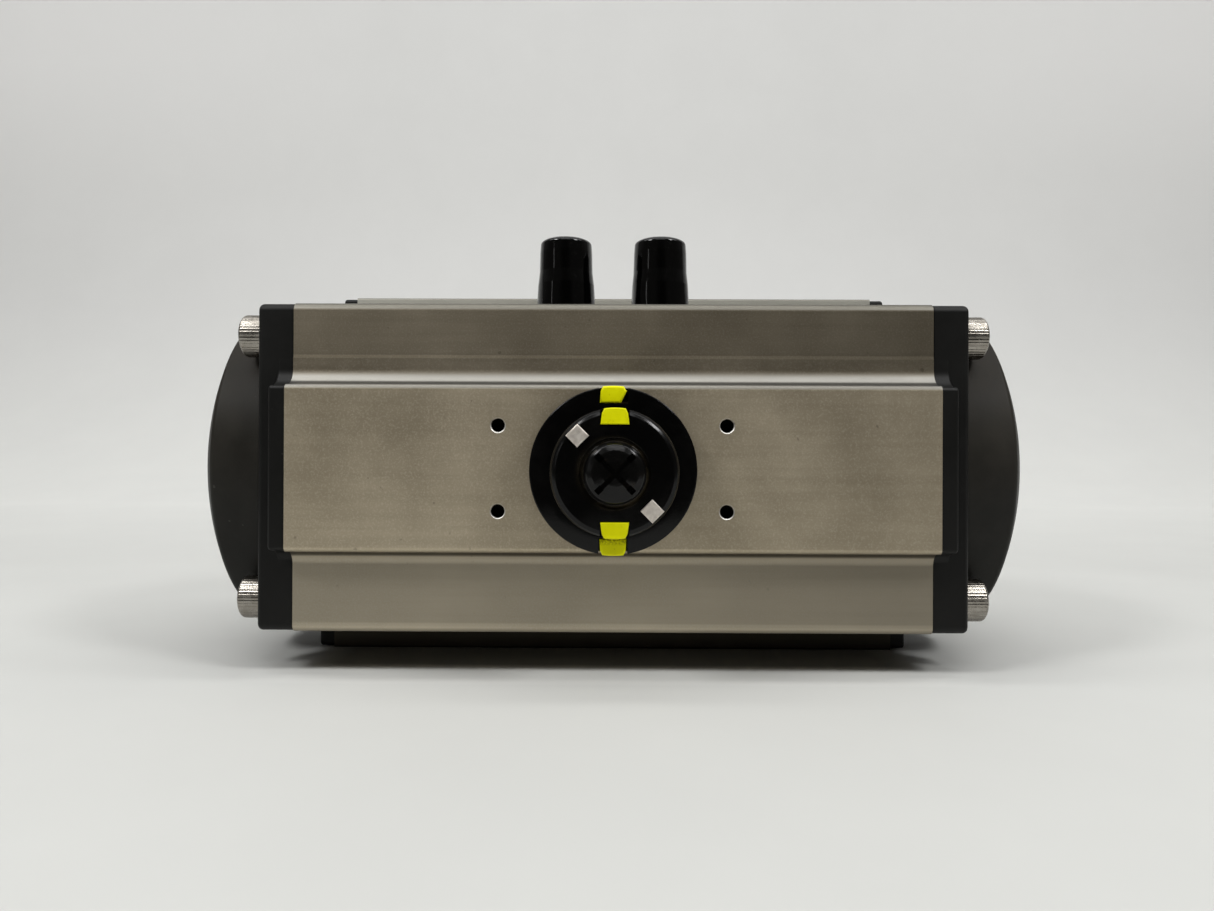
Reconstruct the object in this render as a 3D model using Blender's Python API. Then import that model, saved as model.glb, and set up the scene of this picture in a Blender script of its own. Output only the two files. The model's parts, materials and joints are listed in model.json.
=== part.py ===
"""Rotary pneumatic actuator, rack and pinion, quarter turn, lying on its port pad.

Frame: +X along the pistons, +Y from the indicator to the valve flange, +Z up through the
stop screws.  The port pad rests on Z = 0 and the pinion axis crosses X = 0 at BORE_Z.
Sizes below are millimetres; mesh data is metres.
"""

import math

import bmesh
import bpy
import numpy as np

MM = 0.001
BORE_Z = 75.1

# extruded body
BODY_HALF = 114.9
FACE_Y = 78.5
SHOULDER_Y = 70.0
FACE_TOP_W = 28.5
FACE_LOW_W = -29.5
VALVE_HALF = 46.0
SHOULDER_HALF = 59.0
SEAT_W = 61.5
WALL_W = 67.0
STRIP_W = 75.1
STRIP_Y = (5.5, 48.0)
PORT_PAD_Y = 24.0
CHANNEL = (17.5, -68.0)
BORE_R = 62.5
BORE_SEG = 40
SHAFT_SEG = 28
DIAL_SEG = 32
SCREW_SEG = 16
HOLE_SEG = 12

# end caps
CAP_GAP = 0.1
LIP_X = 120.5
FLANGE_X = 128.1
BOSS_X = 128.3
BOSS_R = 8.4
LIP_INSET = 0.45
CORE_INSET = 0.3
DOME_R = 123.0
DOME_X = 43.0
DOME_WALL = 6.0
DOME_SIDE_R = 65.2
SCREW_Y = 55.5
SCREW_W = 49.0
HEAD_R = 7.9
HEAD_H = 10.0

# rack and pinion
MODULE = 2.4
TEETH = 18
PRESSURE = math.radians(20.0)
PITCH_R = MODULE * TEETH / 2.0
FLANK_PLAY = 0.1
RACK_ADDENDUM = 2.1
RACK_DEDENDUM = 2.8
GEAR_HALF = 20.0
PISTON_R = 62.0
PISTON_IN = 46.0
PISTON_OUT = 74.0
LEG_TIP = 42.0

# pinion seats
TOP_R = 14.0
BOTTOM_R = 24.8
SHAFT_END_Y = -98.5

# stop screws
STOP_X = 18.5
STOP_Y = -40.0
STOP_R = 5.0
STOP_TIP_W = 14.0
CAM_FACE_W = 13.7
CAM_HUB_R = 18.8
CAM_LOBE_R = 28.0


# ---------------------------------------------------------------- materials

def material(name, color, roughness, metallic=0.0, coat=0.0):
    mat = bpy.data.materials.new(name)
    mat.use_nodes = True
    shader = mat.node_tree.nodes["Principled BSDF"]
    shader.inputs["Base Color"].default_value = (*color, 1.0)
    shader.inputs["Roughness"].default_value = roughness
    shader.inputs["Metallic"].default_value = metallic
    shader.inputs["Coat Weight"].default_value = coat
    return mat


def make_materials():
    return {
        "anodised": material("anodised_body", (0.30, 0.28, 0.23), 0.42, 0.85),
        "cap": material("cap_paint", (0.030, 0.028, 0.026), 0.55),
        "stainless": material("stainless_screw", (0.62, 0.60, 0.56), 0.30, 1.0),
        "seal": material("seal_rubber", (0.015, 0.015, 0.015), 0.75),
        "piston": material("piston_cast", (0.52, 0.53, 0.54), 0.45, 0.9),
        "wear": material("wear_plastic", (0.62, 0.58, 0.46), 0.50),
        "steel": material("pinion_steel", (0.42, 0.42, 0.43), 0.35, 1.0),
        "spring": material("snap_ring_steel", (0.10, 0.10, 0.11), 0.40, 1.0),
        "vinyl": material("vinyl_cap", (0.010, 0.010, 0.010), 0.14),
        "dial": material("indicator_plastic", (0.012, 0.012, 0.012), 0.30),
        "yellow": material("marker_yellow", (0.75, 0.78, 0.02), 0.45),
        "target": material("target_steel", (0.60, 0.57, 0.54), 0.40, 1.0),
    }


# ---------------------------------------------------------------- mesh helpers

def place(axis, u, v, a):
    """Row-frame point for section coordinates (u, v) at distance a along an axis."""
    if axis == "X":
        return (a, u, v + BORE_Z)
    if axis == "Y":
        return (u, a, v + BORE_Z)
    return (u, v, a + BORE_Z)


def new_object(name, verts, faces, mat=None, smooth=True):
    mesh = bpy.data.meshes.new(name)
    mesh.from_pydata([(x * MM, y * MM, z * MM) for x, y, z in verts], [], faces)
    work = bmesh.new()
    work.from_mesh(mesh)
    bmesh.ops.recalc_face_normals(work, faces=work.faces)
    work.to_mesh(mesh)
    work.free()
    obj = bpy.data.objects.new(name, mesh)
    bpy.context.scene.collection.objects.link(obj)
    if mat is not None:
        mesh.materials.append(mat)
    if smooth:
        mesh.shade_smooth()
        mesh.set_sharp_from_angle(angle=math.radians(32.0))
    return obj


def stack(name, axis, levels, mat=None):
    """Closed solid through equal-length outlines: levels = [(a, outline), ...]."""
    count = len(levels[0][1])
    verts = [place(axis, u, v, a) for a, outline in levels for u, v in outline]
    faces = [tuple(range(count))]
    for k in range(len(levels) - 1):
        for i in range(count):
            j = (i + 1) % count
            faces.append((k * count + i, k * count + j, (k + 1) * count + j, (k + 1) * count + i))
    top = (len(levels) - 1) * count
    faces.append(tuple(range(top + count - 1, top - 1, -1)))
    return new_object(name, verts, faces, mat)


def prism(name, axis, outline, lo, hi, mat=None):
    return stack(name, axis, [(lo, outline), (hi, outline)], mat)


def lathe(name, axis, profile, segments, centre=(0.0, 0.0), mat=None, phase=0.0):
    """Solid of revolution; profile = [(radius, a), ...] closed on itself or on the axis."""
    verts = []
    rings = []
    for radius, a in profile:
        if radius < 1e-6:
            rings.append([len(verts)])
            verts.append(place(axis, centre[0], centre[1], a))
            continue
        ring = []
        for i in range(segments):
            turn = phase + 2.0 * math.pi * i / segments
            ring.append(len(verts))
            u = centre[0] + radius * math.cos(turn)
            v = centre[1] + radius * math.sin(turn)
            verts.append(place(axis, u, v, a))
        rings.append(ring)
    faces = []
    for k in range(len(rings)):
        first, second = rings[k], rings[(k + 1) % len(rings)]
        if len(first) == 1 and len(second) == 1:
            continue
        for i in range(segments):
            j = (i + 1) % segments
            quad = [first[i % len(first)], first[j % len(first)]]
            quad += [second[j % len(second)], second[i % len(second)]]
            faces.append(tuple(dict.fromkeys(quad)))
    return new_object(name, verts, faces, mat)


def rod(name, axis, radius, lo, hi, segments=SCREW_SEG, centre=(0.0, 0.0), mat=None, phase=0.0):
    profile = [(0.0, lo), (radius, lo), (radius, hi), (0.0, hi)]
    return lathe(name, axis, profile, segments, centre, mat, phase)


def torus_profile(radius, thickness, a, sides=6):
    """Round section of an O-ring with its middle at a radius and a distance along the axis."""
    points = []
    for i in range(sides):
        turn = 2.0 * math.pi * (i + 0.5) / sides
        reach = thickness / 2.0
        points.append((radius + reach * math.cos(turn), a + reach * math.sin(turn)))
    return points


def joined(objects, name):
    """One mesh holding several separate closed bodies, used as a cutter."""
    work = bmesh.new()
    for obj in objects:
        work.from_mesh(obj.data)
        mesh = obj.data
        bpy.data.objects.remove(obj)
        bpy.data.meshes.remove(mesh)
    mesh = bpy.data.meshes.new(name)
    work.to_mesh(mesh)
    work.free()
    obj = bpy.data.objects.new(name, mesh)
    bpy.context.scene.collection.objects.link(obj)
    return obj


def boolean(target, other, operation):
    other.hide_render = True
    other.display_type = "WIRE"
    mod = target.modifiers.new(other.name, "BOOLEAN")
    mod.operation = operation
    mod.solver = "EXACT"
    mod.object = other


def cut(target, *cutters):
    for cutter in cutters:
        boolean(target, cutter, "DIFFERENCE")


def join(target, *others):
    for other in others:
        boolean(target, other, "UNION")


def rounded(corners):
    """Outline from (u, v, radius) corners, each replaced by an arc of that radius."""
    points = []
    count = len(corners)
    for i, (u, v, radius) in enumerate(corners):
        here = np.array([u, v])
        back = np.array(corners[i - 1][:2]) - here
        ahead = np.array(corners[(i + 1) % count][:2]) - here
        back /= np.linalg.norm(back)
        ahead /= np.linalg.norm(ahead)
        half = math.acos(max(-1.0, min(1.0, float(back @ ahead)))) / 2.0
        if radius <= 0.0 or half > 1.55:
            points.append((u, v))
            continue
        bisector = (back + ahead) / np.linalg.norm(back + ahead)
        middle = here + bisector * radius / math.sin(half)
        start = here + back * radius / math.tan(half) - middle
        end = here + ahead * radius / math.tan(half) - middle
        first = math.atan2(start[1], start[0])
        sweep = math.atan2(end[1], end[0]) - first
        sweep = (sweep + math.pi) % (2.0 * math.pi) - math.pi
        steps = max(1, round(abs(sweep) * math.sqrt(radius) / 0.95))
        for k in range(steps + 1):
            turn = first + sweep * k / steps
            points.append((middle[0] + radius * math.cos(turn), middle[1] + radius * math.sin(turn)))
    return points


def inset(outline, distance):
    """The same outline moved inwards, point for point."""
    points = np.array(outline)
    ahead = np.roll(points, -1, axis=0) - points
    ahead /= np.linalg.norm(ahead, axis=1)[:, None]
    area = np.sum(points[:, 0] * np.roll(points[:, 1], -1) - points[:, 1] * np.roll(points[:, 0], -1))
    turn = 1.0 if area > 0 else -1.0
    normal = turn * np.stack([-ahead[:, 1], ahead[:, 0]], axis=1)
    mixed = normal + np.roll(normal, 1, axis=0)
    mixed /= np.sum(mixed * normal, axis=1)[:, None]
    return [tuple(p) for p in points + mixed * distance]


def circle(radius, segments, centre=(0.0, 0.0), phase=0.0):
    points = []
    for i in range(segments):
        turn = phase + 2.0 * math.pi * i / segments
        points.append((centre[0] + radius * math.cos(turn), centre[1] + radius * math.sin(turn)))
    return points


def hexagon(flats, centre=(0.0, 0.0), phase=0.0):
    return circle(flats / math.sqrt(3.0), 6, centre, phase)


def box_outline(u0, u1, v0, v1):
    return [(u0, v0), (u1, v0), (u1, v1), (u0, v1)]


# ---------------------------------------------------------------- body

def body_section(pad_round, face_round):
    """Cross-section corners (y, w, radius) of the extrusion."""
    seat, wall, strip = SEAT_W, WALL_W, STRIP_W
    return [
        (-FACE_Y, FACE_LOW_W, face_round), (-FACE_Y, FACE_TOP_W, face_round),
        (-SHOULDER_Y, FACE_TOP_W, 6.0), (-SHOULDER_Y, SHOULDER_HALF, 2.2),
        (-54.0, seat, 2.0), (-26.0, seat, 2.0), (-12.0, wall, 3.0),
        (STRIP_Y[0], wall, 2.0), (STRIP_Y[0], strip, pad_round),
        (STRIP_Y[1], strip, pad_round), (STRIP_Y[1], seat, 2.5), (54.0, seat, 2.0),
        (SHOULDER_Y, SHOULDER_HALF, 3.0), (SHOULDER_Y, VALVE_HALF, 4.0),
        (FACE_Y, VALVE_HALF, pad_round), (FACE_Y, -VALVE_HALF, pad_round),
        (SHOULDER_Y, -VALVE_HALF, 4.0), (SHOULDER_Y, -SHOULDER_HALF, 3.0),
        (54.0, -seat, 2.0), (31.0, -seat, 2.0), (PORT_PAD_Y, -65.5, 2.0),
        (PORT_PAD_Y, -strip, pad_round), (-PORT_PAD_Y, -strip, pad_round),
        (-PORT_PAD_Y, -65.5, 2.0), (-31.0, -seat, 2.0), (-54.0, -seat, 2.0),
        (-SHOULDER_Y, -SHOULDER_HALF, 2.6), (-SHOULDER_Y, FACE_LOW_W, 5.0),
    ]


def core_section():
    """Flange outline: the body's section without its raised pads."""
    seat, wall = SEAT_W, WALL_W
    return [
        (-SHOULDER_Y, -SHOULDER_HALF, 3.0), (-SHOULDER_Y, SHOULDER_HALF, 3.0),
        (-54.0, seat, 3.0), (-26.0, seat, 3.0), (-12.0, wall, 4.0), (12.0, wall, 4.0),
        (26.0, seat, 3.0), (54.0, seat, 3.0), (SHOULDER_Y, SHOULDER_HALF, 3.0),
        (SHOULDER_Y, -SHOULDER_HALF, 3.0), (54.0, -seat, 3.0), (26.0, -seat, 3.0),
        (12.0, -wall, 4.0), (-12.0, -wall, 4.0), (-26.0, -seat, 3.0), (-54.0, -seat, 3.0),
    ]


def chamfered_hole(axis, radius, mouth, end, centre, segments=HOLE_SEG, rim=0.5):
    """Blind drilled hole with a small chamfer at its mouth and a conical end."""
    way = 1.0 if end > mouth else -1.0
    profile = [
        (0.0, mouth - way), (radius + rim + 1.0, mouth - way), (radius, mouth + way * rim),
        (radius, end), (0.0, end + way * radius * 0.5),
    ]
    return lathe("hole", axis, profile, segments, centre)


def four(first, second):
    return [(first, second), (-first, second), (-first, -second), (first, -second)]


def body_holes():
    """Holes that don't meet one another, as one cutter."""
    holes = []
    for x, w in four(40.0, 15.0):
        holes.append(chamfered_hole("Y", 2.5, -FACE_Y, -FACE_Y + 9.0, (x, w)))
    for x, w in four(36.06, 36.06):
        holes.append(chamfered_hole("Y", 4.25, FACE_Y, FACE_Y - 11.0, (x, w)))
    for x, w in four(24.75, 24.75):
        holes.append(chamfered_hole("Y", 3.4, FACE_Y, FACE_Y - 11.0, (x, w)))
    for x, y in four(16.0, 12.0):
        holes.append(chamfered_hole("Z", 2.1, -STRIP_W, -STRIP_W + 7.5, (x, y)))
    for y, w in four(SCREW_Y, SCREW_W):
        for side in (-1.0, 1.0):
            end = side * (BODY_HALF - 24.0)
            holes.append(rod("hole", "X", 5.2, side * (BODY_HALF + 2.0), end, HOLE_SEG, (y, w)))
    top_seat = [
        (0.0, -FACE_Y - 2.0), (17.2, -FACE_Y - 2.0), (17.2, -67.5), (14.6, -67.5),
        (14.6, -50.0), (0.0, -50.0),
    ]
    holes.append(lathe("hole", "Y", top_seat, SHAFT_SEG))
    bottom_seat = [
        (0.0, FACE_Y + 2.0), (28.0, FACE_Y + 2.0), (28.0, 66.4), (25.3, 66.4),
        (25.3, 40.0), (0.0, 40.0),
    ]
    holes.append(lathe("hole", "Y", bottom_seat, SHAFT_SEG))
    for x in (-STOP_X, STOP_X):
        seat = [
            (0.0, SEAT_W + 2.0), (8.0, SEAT_W + 2.0), (8.0, SEAT_W - 1.6), (5.2, SEAT_W - 1.6),
            (5.2, 40.0), (0.0, 40.0),
        ]
        holes.append(lathe("hole", "Z", seat, SCREW_SEG, (x, STOP_Y)))
    centre_port = [
        (0.0, -STRIP_W - 1.0), (6.9, -STRIP_W - 1.0), (5.9, -STRIP_W + 0.6),
        (5.9, -66.5), (3.5, -66.5), (3.5, -58.0), (0.0, -58.0),
    ]
    holes.append(lathe("hole", "Z", centre_port, SCREW_SEG, (-12.0, 0.0)))
    end_port = [
        (0.0, -STRIP_W - 1.0), (6.9, -STRIP_W - 1.0), (5.9, -STRIP_W + 0.6),
        (5.9, -67.0), (0.0, -67.0),
    ]
    holes.append(lathe("hole", "Z", end_port, SCREW_SEG, (12.0, 0.0)))
    return joined(holes, "body_holes")


def make_body(mats):
    body = prism("body", "X", rounded(body_section(0.8, 1.5)), -BODY_HALF, BODY_HALF, mats["anodised"])
    bore = rod("body_bore", "X", BORE_R, -130.0, 130.0, BORE_SEG)
    channel = rod("body_channel", "X", 1.75, -130.0, 130.0, 8, CHANNEL)
    cross = rod("body_cross_drill", "Y", 1.75, 2.0, CHANNEL[0], 8, (10.4, -69.4))
    cut(body, bore, body_holes(), channel, cross)


# ---------------------------------------------------------------- end caps

def mirror_levels(levels, side):
    return [(side * a, outline) for a, outline in levels]


def dome_profile(radius, side_radius, lo, side, rings=6):
    """Half profile of a short cylinder closed by part of a sphere."""
    edge = math.asin(side_radius / radius)
    profile = [(0.0, side * lo), (side_radius, side * lo)]
    for k in range(rings + 1):
        turn = edge * (1.0 - k / rings)
        profile.append((radius * math.sin(turn), side * (DOME_X + radius * math.cos(turn))))
    profile[-1] = (0.0, profile[-1][1])
    return profile


def make_end_cap(name, side, mats):
    lip = inset(rounded(body_section(2.0, 2.0)), LIP_INSET)
    core = inset(rounded(core_section()), CORE_INSET)
    start = BODY_HALF + CAP_GAP
    lip_levels = [(start, lip), (LIP_X - 1.1, lip), (LIP_X, inset(lip, 1.1))]
    core_levels = [(start + 0.3, core), (FLANGE_X - 2.0, core), (FLANGE_X - 0.6, inset(core, 0.5)),
                   (FLANGE_X, inset(core, 1.8))]
    cap = stack(name, "X", mirror_levels(lip_levels, side), mats["cap"])
    flange = stack(name + "_flange", "X", mirror_levels(core_levels, side))
    dome = lathe(name + "_dome", "X", dome_profile(DOME_R, DOME_SIDE_R, start + 3.0, side), BORE_SEG)
    bosses = []
    for y, w in four(SCREW_Y, SCREW_W):
        bosses.append(rod("boss", "X", BOSS_R, side * (start + 4.0), side * BOSS_X, SCREW_SEG, (y, w)))
    join(cap, flange, dome, joined(bosses, name + "_bosses"))
    hollow = lathe(name + "_hollow", "X",
                   dome_profile(DOME_R - DOME_WALL, 58.0, start - 3.0, side, 4), BORE_SEG)
    holes = []
    for y, w in four(SCREW_Y, SCREW_W):
        holes.append(rod("hole", "X", 5.3, side * (start - 3.0), side * 140.0, HOLE_SEG, (y, w)))
    cut(cap, hollow, joined(holes, name + "_holes"), seal_solid(name + "_groove", side, 0.3, 1.4, None))
    slot = prism(name + "_slot", "X", box_outline(CHANNEL[0] - 3.0, CHANNEL[0] + 1.8, -69.6, -50.0),
                 side * (start - 2.0), side * (start + 4.0))
    cut(cap, slot)


def seal_outline():
    """Outside of the flat seal: a ring with a rounded ear round the air channel."""
    outer_r = 65.2
    ear_r = 4.5
    ear = CHANNEL
    aim = math.atan2(ear[1], ear[0])
    points = []
    for u, v in circle(outer_r, BORE_SEG, phase=aim):
        if math.hypot(u - ear[0], v - ear[1]) > ear_r + 1.5:
            points.append((u, v))
    for k in range(-5, 6):
        turn = aim + k * math.radians(18.0)
        points.append((ear[0] + ear_r * math.cos(turn), ear[1] + ear_r * math.sin(turn)))
    return points


def seal_solid(name, side, spread, depth, mat):
    """Flat end seal; with a spread it is the groove cutter, with none it is the seal."""
    start = BODY_HALF + CAP_GAP
    lo = start - 2.0 if mat is None else start + 0.05
    seal = prism(name, "X", inset(seal_outline(), -spread), side * lo, side * (start + depth), mat)
    inner = rod(name + "_bore", "X", 62.8 - spread, side * (start - 4.0), side * (start + 4.0), BORE_SEG)
    cut(seal, inner)
    window = prism(name + "_window", "X", box_outline(CHANNEL[0] - 2.0, CHANNEL[0] + 2.0, -70.0, -50.0),
                   side * (start - 4.0), side * (start + 4.0))
    cut(seal, window)
    return seal


def make_cap_screw(name, side, y, w, mats):
    seat = BOSS_X + 0.05
    end = BODY_HALF - 18.0
    profile = [
        (0.0, side * end), (4.2, side * end), (5.0, side * (end + 0.8)), (5.0, side * seat),
        (HEAD_R, side * seat), (HEAD_R, side * (seat + HEAD_H - 1.8)),
        (HEAD_R - 0.5, side * (seat + HEAD_H - 0.6)), (HEAD_R - 1.6, side * (seat + HEAD_H)),
        (4.9, side * (seat + HEAD_H)), (0.0, side * (seat + HEAD_H)),
    ]
    screw = lathe(name, "X", profile, SCREW_SEG, (y, w), mats["stainless"])
    socket = prism(name + "_socket", "X", hexagon(8.0, (y, w)),
                   side * (seat + HEAD_H - 5.0), side * (seat + HEAD_H + 2.0))
    cut(screw, socket)


def make_end(side_name, side, mats):
    make_end_cap("end_cap_" + side_name, side, mats)
    seal_solid("cap_seal_" + side_name, side, 0.0, 1.1, mats["seal"])
    for number, (y, w) in enumerate(four(SCREW_Y, SCREW_W), 1):
        make_cap_screw(f"cap_screw_{side_name}_{number}", side, y, w, mats)


# ---------------------------------------------------------------- pistons

def rack_outline(side):
    """Rack leg seen along the pinion, teeth towards the axis; side -1 is the upper, left rack."""
    pitch = math.pi * MODULE
    half = pitch / 4.0 - FLANK_PLAY
    slope = math.tan(PRESSURE)
    tip = half - RACK_ADDENDUM * slope
    root = half + RACK_DEDENDUM * slope
    top = PITCH_R - RACK_ADDENDUM
    floor = PITCH_R + RACK_DEDENDUM
    points = [(-PISTON_IN - 3.0, 52.0), (-PISTON_IN - 3.0, floor)]
    for k in range(-5, 6):
        x = k * pitch
        if -PISTON_IN < x - root and x + root < LEG_TIP:
            points += [(x - root, floor), (x - tip, top), (x + tip, top), (x + root, floor)]
    points += [(LEG_TIP, floor), (LEG_TIP, 50.0), (LEG_TIP - 2.0, 52.0)]
    return [(-side * x, -side * w) for x, w in points]


def make_piston(side_name, side, mats):
    """Piston head with its rack leg; side -1 is the left piston with the upper rack."""
    head = [
        (0.0, PISTON_IN), (59.0, PISTON_IN), (PISTON_R, PISTON_IN + 1.5),
        (PISTON_R, 50.5), (59.6, 50.5), (59.6, 57.5), (PISTON_R, 57.5),
        (PISTON_R, 61.5), (57.4, 61.5), (57.4, 66.5), (PISTON_R, 66.5),
        (PISTON_R, PISTON_OUT - 1.5), (60.0, PISTON_OUT), (44.0, PISTON_OUT),
        (40.0, PISTON_OUT - 6.0), (0.0, PISTON_OUT - 6.0),
    ]
    profile = [(r, side * a) for r, a in head]
    piston = lathe("piston_" + side_name, "X", profile, BORE_SEG, mat=mats["piston"])
    leg = prism(f"piston_{side_name}_leg", "Y", rack_outline(side), -GEAR_HALF, GEAR_HALF)
    join(piston, leg)
    up = -side
    pocket = prism(f"piston_{side_name}_pocket", "X",
                   box_outline(-9.0, 9.0, up * 49.0, up * 56.0), -side * 8.0, -side * 38.0)
    cut(piston, pocket)
    o_ring = torus_profile(59.9, 4.4, side * 64.0, 5)
    lathe("piston_seal_" + side_name, "X", o_ring, BORE_SEG, mat=mats["seal"])
    wear = [(59.8, side * 50.7), (62.2, side * 50.7), (62.2, side * 57.3), (59.8, side * 57.3)]
    lathe("wear_ring_" + side_name, "X", wear, BORE_SEG, mat=mats["wear"])
    outline = [(-8.8, up * 49.2), (8.8, up * 49.2)]
    for k in range(5):
        y = 8.8 - 17.6 * k / 4.0
        outline.append((y, up * math.sqrt(62.0 ** 2 - y ** 2)))
    prism("rack_guide_" + side_name, "X", outline, -side * 8.3, -side * 37.7, mats["wear"])


# ---------------------------------------------------------------- pinion and cam

def involute_angle(radius, base):
    reach = math.sqrt((radius / base) ** 2 - 1.0)
    return reach - math.atan(reach)


def gear_outline():
    """Involute spur teeth; a gap is centred on the upper and the lower rack."""
    base = PITCH_R * math.cos(PRESSURE)
    tip = PITCH_R + MODULE
    root = PITCH_R - 1.25 * MODULE
    half = math.pi / (2.0 * TEETH) - FLANK_PLAY / PITCH_R
    at_pitch = involute_angle(PITCH_R, base)
    radii = np.linspace(base, tip, 4)
    points = []
    for k in range(TEETH):
        middle = math.pi / 2.0 + (k + 0.5) * 2.0 * math.pi / TEETH
        widths = [half + at_pitch - involute_angle(r, base) for r in radii]
        side = [(root, widths[0])] + list(zip(radii, widths))
        for r, width in side:
            points.append((r * math.cos(middle - width), r * math.sin(middle - width)))
        for r, width in reversed(side):
            points.append((r * math.cos(middle + width), r * math.sin(middle + width)))
    return points


def flatted(radius, flat, segments=SHAFT_SEG):
    """Circle cut by two parallel flats."""
    points = circle(radius, segments, phase=math.pi / segments)
    return [(max(-flat, min(flat, u)), v) for u, v in points]


def make_pinion(mats):
    shaft = [
        (0.0, SHAFT_END_Y), (13.2, SHAFT_END_Y), (TOP_R, SHAFT_END_Y + 0.8),
        (TOP_R, -84.5), (12.5, -84.5), (12.5, -82.5), (TOP_R, -82.5),
        (TOP_R, -66.5), (12.1, -66.5), (12.1, -63.2), (TOP_R, -63.2), (TOP_R, -47.0),
        (17.0, -47.0), (17.0, -32.0), (18.2, -32.0), (18.2, 22.0), (20.0, 22.0), (20.0, 56.0),
        (BOTTOM_R, 58.0), (BOTTOM_R, 62.6), (22.4, 62.6), (22.4, 66.1), (BOTTOM_R, 66.1),
        (BOTTOM_R, 77.2), (24.0, 78.0), (0.0, 78.0),
    ]
    pinion = lathe("pinion", "Y", shaft, SHAFT_SEG, mat=mats["steel"])
    join(pinion, prism("pinion_teeth", "Y", gear_outline(), -GEAR_HALF - 1.0, GEAR_HALF + 1.0))
    flats = [prism("flat", "Y", box_outline(9.0, 20.0, -20.0, 20.0), -101.0, -87.0),
             prism("flat", "Y", box_outline(-20.0, -9.0, -20.0, 20.0), -101.0, -87.0),
             prism("flat", "Y", box_outline(14.6, 24.0, -20.0, 20.0), -49.0, -33.0),
             prism("flat", "Y", box_outline(-24.0, -14.6, -20.0, 20.0), -49.0, -33.0),
             rod("tap", "Y", 2.6, -101.0, -80.0, 16)]
    star = circle(15.4, 8)
    inner = circle(11.9, 8, phase=math.pi / 8.0)
    socket = [p for pair in zip(star, inner) for p in pair]
    flats.append(prism("socket", "Y", socket, 52.0, 80.0))
    cut(pinion, joined(flats, "pinion_cuts"))


def make_stop_cam(mats):
    hub_side = math.sqrt(CAM_HUB_R ** 2 - CAM_FACE_W ** 2)
    lobe_side = math.sqrt(CAM_LOBE_R ** 2 - CAM_FACE_W ** 2)
    hub_from = math.atan2(-hub_side, CAM_FACE_W)
    hub_to = math.atan2(CAM_FACE_W, -hub_side)
    lobe_from = math.atan2(CAM_FACE_W, -lobe_side)
    lobe_to = math.atan2(-lobe_side, CAM_FACE_W) + 2.0 * math.pi
    outline = []
    for turn in np.linspace(hub_from, hub_to, 13):
        outline.append((CAM_HUB_R * math.cos(turn), CAM_HUB_R * math.sin(turn)))
    for turn in np.linspace(lobe_from, lobe_to, 13):
        outline.append((CAM_LOBE_R * math.cos(turn), CAM_LOBE_R * math.sin(turn)))
    cam = prism("stop_cam", "Y", outline, STOP_Y - 6.0, STOP_Y + 6.0, mats["steel"])
    cut(cam, prism("stop_cam_bore", "Y", flatted(17.2, 14.8), STOP_Y - 9.0, STOP_Y + 9.0))


def ring(name, axis, inner, outer, lo, hi, mat, segments=SHAFT_SEG):
    profile = [(inner, lo), (outer, lo), (outer, hi), (inner, hi)]
    return lathe(name, axis, profile, segments, mat=mat)


def make_pinion_seats(mats):
    ring("top_bearing", "Y", 14.2, 17.0, -78.3, -67.7, mats["wear"])
    ring("bottom_bearing", "Y", 25.0, 27.8, 66.6, 77.6, mats["wear"])
    lathe("top_o_ring", "Y", torus_profile(13.35, 2.3, -64.85), SHAFT_SEG, mat=mats["seal"])
    lathe("bottom_o_ring", "Y", torus_profile(23.85, 2.6, 64.35), SHAFT_SEG, mat=mats["seal"])
    ring("thrust_bearing", "Y", 14.3, 22.0, -80.6, -78.6, mats["wear"])
    ring("thrust_washer", "Y", 14.3, 21.0, -82.2, -80.7, mats["steel"])
    clip = ring("snap_ring", "Y", 12.8, 17.5, -84.2, -82.7, mats["spring"])
    cut(clip, prism("snap_ring_gap", "Y", box_outline(-4.0, 4.0, 8.0, 22.0), -86.0, -81.0))


# ---------------------------------------------------------------- stop screws

def make_stop(name, x, mats):
    centre = (x, STOP_Y)
    screw = [
        (0.0, STOP_TIP_W), (3.8, STOP_TIP_W), (STOP_R, STOP_TIP_W + 1.4),
        (STOP_R, 80.2), (4.2, 81.0), (0.0, 81.0),
    ]
    body = lathe("stop_screw_" + name, "Z", screw, SCREW_SEG, centre, mats["stainless"])
    cut(body, prism(f"stop_screw_{name}_socket", "Z", hexagon(5.0, centre), 75.5, 83.0))
    lathe("stop_o_ring_" + name, "Z", torus_profile(6.4, 1.5, SEAT_W - 0.8), SCREW_SEG, centre, mats["seal"])
    washer = [(5.3, 61.7), (9.9, 61.7), (9.9, 63.7), (5.3, 63.7)]
    lathe("stop_washer_" + name, "Z", washer, SCREW_SEG, centre, mats["stainless"])
    nut = prism("stop_nut_" + name, "Z", hexagon(17.0, centre, math.pi / 6.0), 63.8, 71.8,
                mats["stainless"])
    cut(nut, rod(f"stop_nut_{name}_bore", "Z", 5.3, 61.0, 75.0, SCREW_SEG, centre))
    cap = [
        (10.3, 61.7), (11.4, 61.7), (11.3, 66.0), (10.5, 85.4), (9.9, 87.6), (8.6, 88.7),
        (6.6, 89.2), (0.0, 89.3), (0.0, 87.4), (6.8, 87.2), (8.8, 85.2), (9.95, 72.2),
    ]
    lathe("stop_cap_" + name, "Z", cap, 24, centre, mats["vinyl"])


# ---------------------------------------------------------------- indicator

def turned_box(half_u, half_v, centre_r, turn):
    """Rectangle whose middle is at a radius, turned with that radius."""
    c, s = math.cos(turn), math.sin(turn)
    points = []
    for u, v in box_outline(-half_u, half_u, centre_r - half_v, centre_r + half_v):
        points.append((u * c - v * s, u * s + v * c))
    return points


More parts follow.
